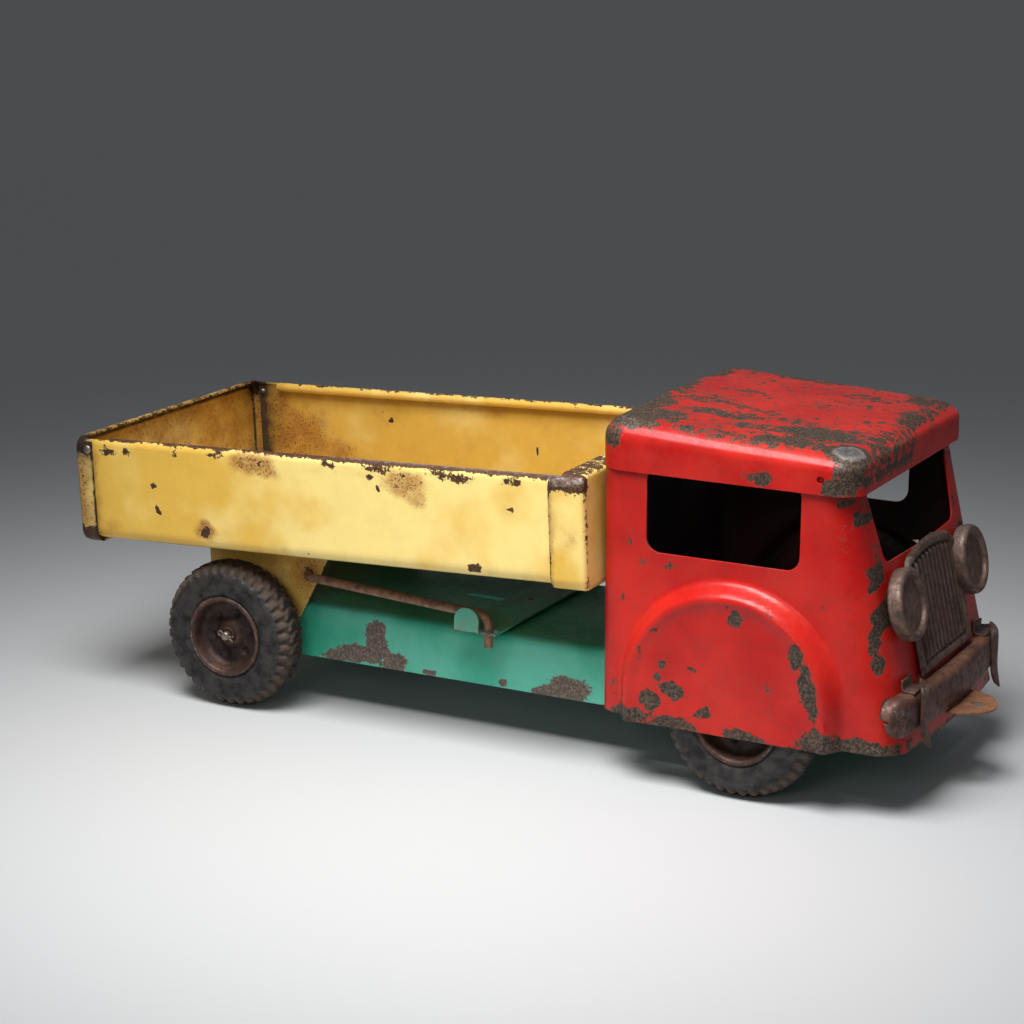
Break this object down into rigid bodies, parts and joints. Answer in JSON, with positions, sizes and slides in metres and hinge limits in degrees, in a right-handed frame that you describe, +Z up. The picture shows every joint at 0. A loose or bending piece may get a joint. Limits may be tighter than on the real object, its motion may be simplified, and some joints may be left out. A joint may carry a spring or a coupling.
{
  "type": "toy dump truck",
  "caption": "Pressed-steel toy dump truck with a tipping bed linked to a sliding cross plate, a swinging tailgate and free-turning wheels.",
  "frame": {"origin": "the middle of the truck's footprint on the ground", "axes": "+X forward towards the cab, +Y to the truck's left, +Z up"},
  "size_m": [0.4682, 0.168, 0.1761],
  "materials": {
    "red_paint": "worn gloss enamel",
    "yellow_paint": "worn gloss enamel",
    "green_paint": "worn gloss enamel",
    "rusted_steel": "dark rusted steel",
    "bare_steel": "dull worn steel",
    "rubber": "matt aged rubber"
  },
  "bodies": {
    "chassis": {"chassis": "green_paint", "cab_body": "red_paint", "cab_roof": "red_paint", "grille": "rusted_steel", "bumper": "rusted_steel", "pull_tab": "rusted_steel", "rear_axle": "bare_steel", "front_axle": "bare_steel", "cab_rivet_right": "bare_steel", "cab_rivet_left": "bare_steel", "headlamp_right": "rusted_steel", "overrider_right": "rusted_steel", "bumper_bracket_right": "rusted_steel", "headlamp_left": "rusted_steel", "overrider_left": "rusted_steel", "bumper_bracket_left": "rusted_steel", "rear_right_spacer": "bare_steel", "rear_right_washer": "bare_steel", "rear_right_split_pin": "bare_steel", "rear_left_spacer": "bare_steel", "rear_left_washer": "bare_steel", "rear_left_split_pin": "bare_steel", "front_right_spacer": "bare_steel", "front_right_washer": "bare_steel", "front_right_split_pin": "bare_steel", "front_left_spacer": "bare_steel", "front_left_washer": "bare_steel", "front_left_split_pin": "bare_steel"},
    "bed": {"bed_tray": "yellow_paint", "headboard": "yellow_paint", "hanger_right": "yellow_paint", "tailgate_pivot_right": "bare_steel", "hanger_rivet_rear_right": "bare_steel", "hanger_rivet_front_right": "bare_steel", "hanger_left": "yellow_paint", "tailgate_pivot_left": "bare_steel", "hanger_rivet_rear_left": "bare_steel", "hanger_rivet_front_left": "bare_steel"},
    "tailgate": {"tailgate": "yellow_paint"},
    "rod_right": {"rod_right": "rusted_steel"},
    "rod_left": {"rod_left": "rusted_steel"},
    "crosshead": {"crosshead": "green_paint", "guide_stud": "bare_steel", "guide_washer": "bare_steel"},
    "rear_right_wheel": {"rear_right_tyre": "rubber", "rear_right_hub_outer": "rusted_steel", "rear_right_hub_inner": "rusted_steel"},
    "rear_left_wheel": {"rear_left_tyre": "rubber", "rear_left_hub_outer": "rusted_steel", "rear_left_hub_inner": "rusted_steel"},
    "front_right_wheel": {"front_right_tyre": "rubber", "front_right_hub_outer": "rusted_steel", "front_right_hub_inner": "rusted_steel"},
    "front_left_wheel": {"front_left_tyre": "rubber", "front_left_hub_outer": "rusted_steel", "front_left_hub_inner": "rusted_steel"}
  },
  "joints": [
    {"name": "bed_tip", "type": "hinge", "parent": "chassis", "child": "bed", "pos_m": [-0.14847, 0, 0.038], "axis": [0, -1, 0], "range_deg": [0, 40]},
    {"name": "tailgate_swing", "type": "hinge", "parent": "bed", "child": "tailgate", "pos_m": [-0.22567, 0, 0.12829], "axis": [0, 1, 0], "range_deg": [0, 60]},
    {"name": "rod_pivot_right", "type": "hinge", "parent": "bed", "child": "rod_right", "pos_m": [-0.11097, -0.0585, 0.0705], "axis": [0, -1, 0], "range_deg": [-49.8, 0]},
    {"name": "rod_pivot_left", "type": "hinge", "parent": "bed", "child": "rod_left", "pos_m": [-0.11097, 0.0585, 0.0705], "axis": [0, -1, 0], "range_deg": [-49.8, 0]},
    {"name": "crosshead_slide", "type": "slide", "parent": "chassis", "child": "crosshead", "axis": [-1, 0, 0], "range_m": [0, 0.0327]},
    {"name": "rear_right_spin", "type": "hinge", "parent": "chassis", "child": "rear_right_wheel", "pos_m": [-0.14847, -0.0669, 0.038], "axis": [0, 1, 0], "continuous": true},
    {"name": "rear_left_spin", "type": "hinge", "parent": "chassis", "child": "rear_left_wheel", "pos_m": [-0.14847, 0.0669, 0.038], "axis": [0, 1, 0], "continuous": true},
    {"name": "front_right_spin", "type": "hinge", "parent": "chassis", "child": "front_right_wheel", "pos_m": [0.13433, -0.0669, 0.038], "axis": [0, 1, 0], "continuous": true},
    {"name": "front_left_spin", "type": "hinge", "parent": "chassis", "child": "front_left_wheel", "pos_m": [0.13433, 0.0669, 0.038], "axis": [0, 1, 0], "continuous": true}
  ],
  "couplings": [
    {"joint": "rod_pivot_right", "follows": "bed_tip", "ratio": -1.245},
    {"joint": "rod_pivot_left", "follows": "bed_tip", "ratio": -1.245},
    {"joint": "crosshead_slide", "follows": "bed_tip", "m_per_rad": 0.0467}
  ]
}
